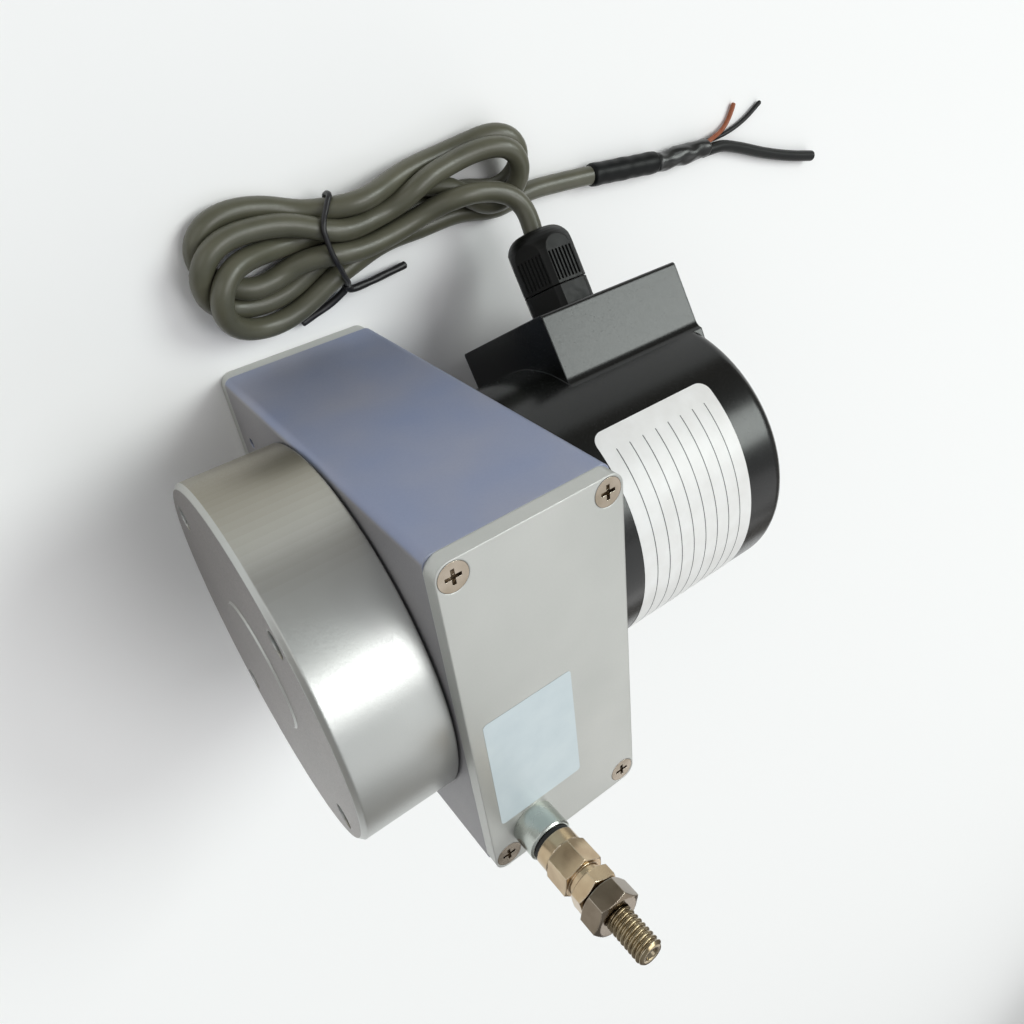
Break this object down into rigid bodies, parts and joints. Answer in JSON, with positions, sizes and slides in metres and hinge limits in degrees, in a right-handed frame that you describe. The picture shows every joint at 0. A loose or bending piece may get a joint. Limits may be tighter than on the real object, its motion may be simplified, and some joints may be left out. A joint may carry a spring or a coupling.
{
  "type": "draw wire encoder",
  "caption": "Draw wire position sensor: housing with a spring-driven wire drum, round spring case, rotary encoder on the same shaft, and a tied cable.",
  "frame": {"origin": "centre of the mounting face under the base plate", "axes": "+Z from the mounting face towards the wire exit, +X along the shaft from the encoder to the spring case, +Y towards the side where the wire leaves"},
  "size_m": [0.2363, 0.124, 0.1317],
  "materials": {
    "housing_aluminium": "satin anodised extrusion",
    "plate_aluminium": "satin anodised plate",
    "case_aluminium": "turned and satin anodised",
    "black_anodised": "black satin anodised",
    "screw_steel": "nickel plated",
    "black_screw_steel": "black oxide",
    "nozzle_nickel": "turned, nickel plated",
    "guide_ceramic": "polished ceramic",
    "spring_steel": "blued spring band",
    "bearing_steel": "ground and polished",
    "shaft_steel": "ground steel",
    "drum_plastic": "moulded engineering plastic",
    "wire_steel": "stranded stainless wire",
    "standoff_brass": "turned brass",
    "board_laminate": "green solder mask",
    "sensor_plastic": "moulded package",
    "disc_glass": "graduated disc",
    "hub_aluminium": "turned aluminium",
    "gland_nylon": "moulded black nylon",
    "black_rubber": "moulded rubber",
    "fitting_nickel": "warm nickel plate",
    "cable_jacket": "dull extruded jacket",
    "tie_plastic": "coated wire",
    "black_sleeve": "heat-shrunk sleeve and wrapped tape",
    "orange_insulation": "extruded insulation",
    "black_insulation": "extruded insulation"
  },
  "bodies": {
    "body": {"housing": "housing_aluminium", "top_plate": "plate_aluminium", "base_plate": "housing_aluminium", "plate_screws": "screw_steel", "nozzle": "nozzle_nickel", "nozzle_eyelet": "guide_ceramic", "spring_case": "case_aluminium", "spring_case_base": "housing_aluminium", "case_screws": "black_screw_steel", "mainspring": "spring_steel", "bearing_outer_rings": "bearing_steel", "encoder_flange": "black_anodised", "flange_screws": "black_screw_steel", "encoder_cover": "black_anodised", "cover_screws": "black_screw_steel", "standoffs": "standoff_brass", "circuit_board": "board_laminate", "read_head": "sensor_plastic", "terminal_block": "board_laminate", "gland_body": "gland_nylon", "gland_seal": "black_rubber", "gland_nut": "gland_nylon", "cable": "cable_jacket", "cable_hank": "cable_jacket", "cable_tail": "cable_jacket", "cable_tie": "tie_plastic", "shrink_sleeve": "black_sleeve", "lead_joint": "black_sleeve", "lead_orange": "orange_insulation", "lead_black": "black_insulation", "lead_thick": "black_insulation"},
    "drum_set": {"drum": "drum_plastic", "drum_shaft": "shaft_steel", "drum_screws": "black_screw_steel", "wound_wire": "wire_steel", "retaining_rings": "shaft_steel", "bearing_inner_rings": "bearing_steel", "bearing_balls": "bearing_steel", "spring_arbor": "shaft_steel", "disc_hub": "hub_aluminium", "code_disc": "disc_glass"},
    "wire_end": {"wire_lead": "wire_steel", "stop_ring": "black_rubber", "wire_clamp": "fitting_nickel", "wire_ferrule": "standoff_brass", "lock_nut": "fitting_nickel", "mounting_nut": "fitting_nickel", "stud": "fitting_nickel"}
  },
  "joints": [
    {"name": "wire_pull", "type": "slide", "parent": "body", "child": "wire_end", "axis": [0, 0, 1], "range_m": [0, 1.5], "stiffness_N_per_m": 2, "springref_m": -3, "deforming": ["wire_lead"]},
    {"name": "drum_spin", "type": "hinge", "parent": "body", "child": "drum_set", "pos_m": [0, -0.0012, 0.0505], "axis": [1, 0, 0], "range_deg": [0, 2460]}
  ],
  "couplings": [
    {"joint": "drum_spin", "follows": "wire_pull", "rad_per_m": 28.56}
  ]
}
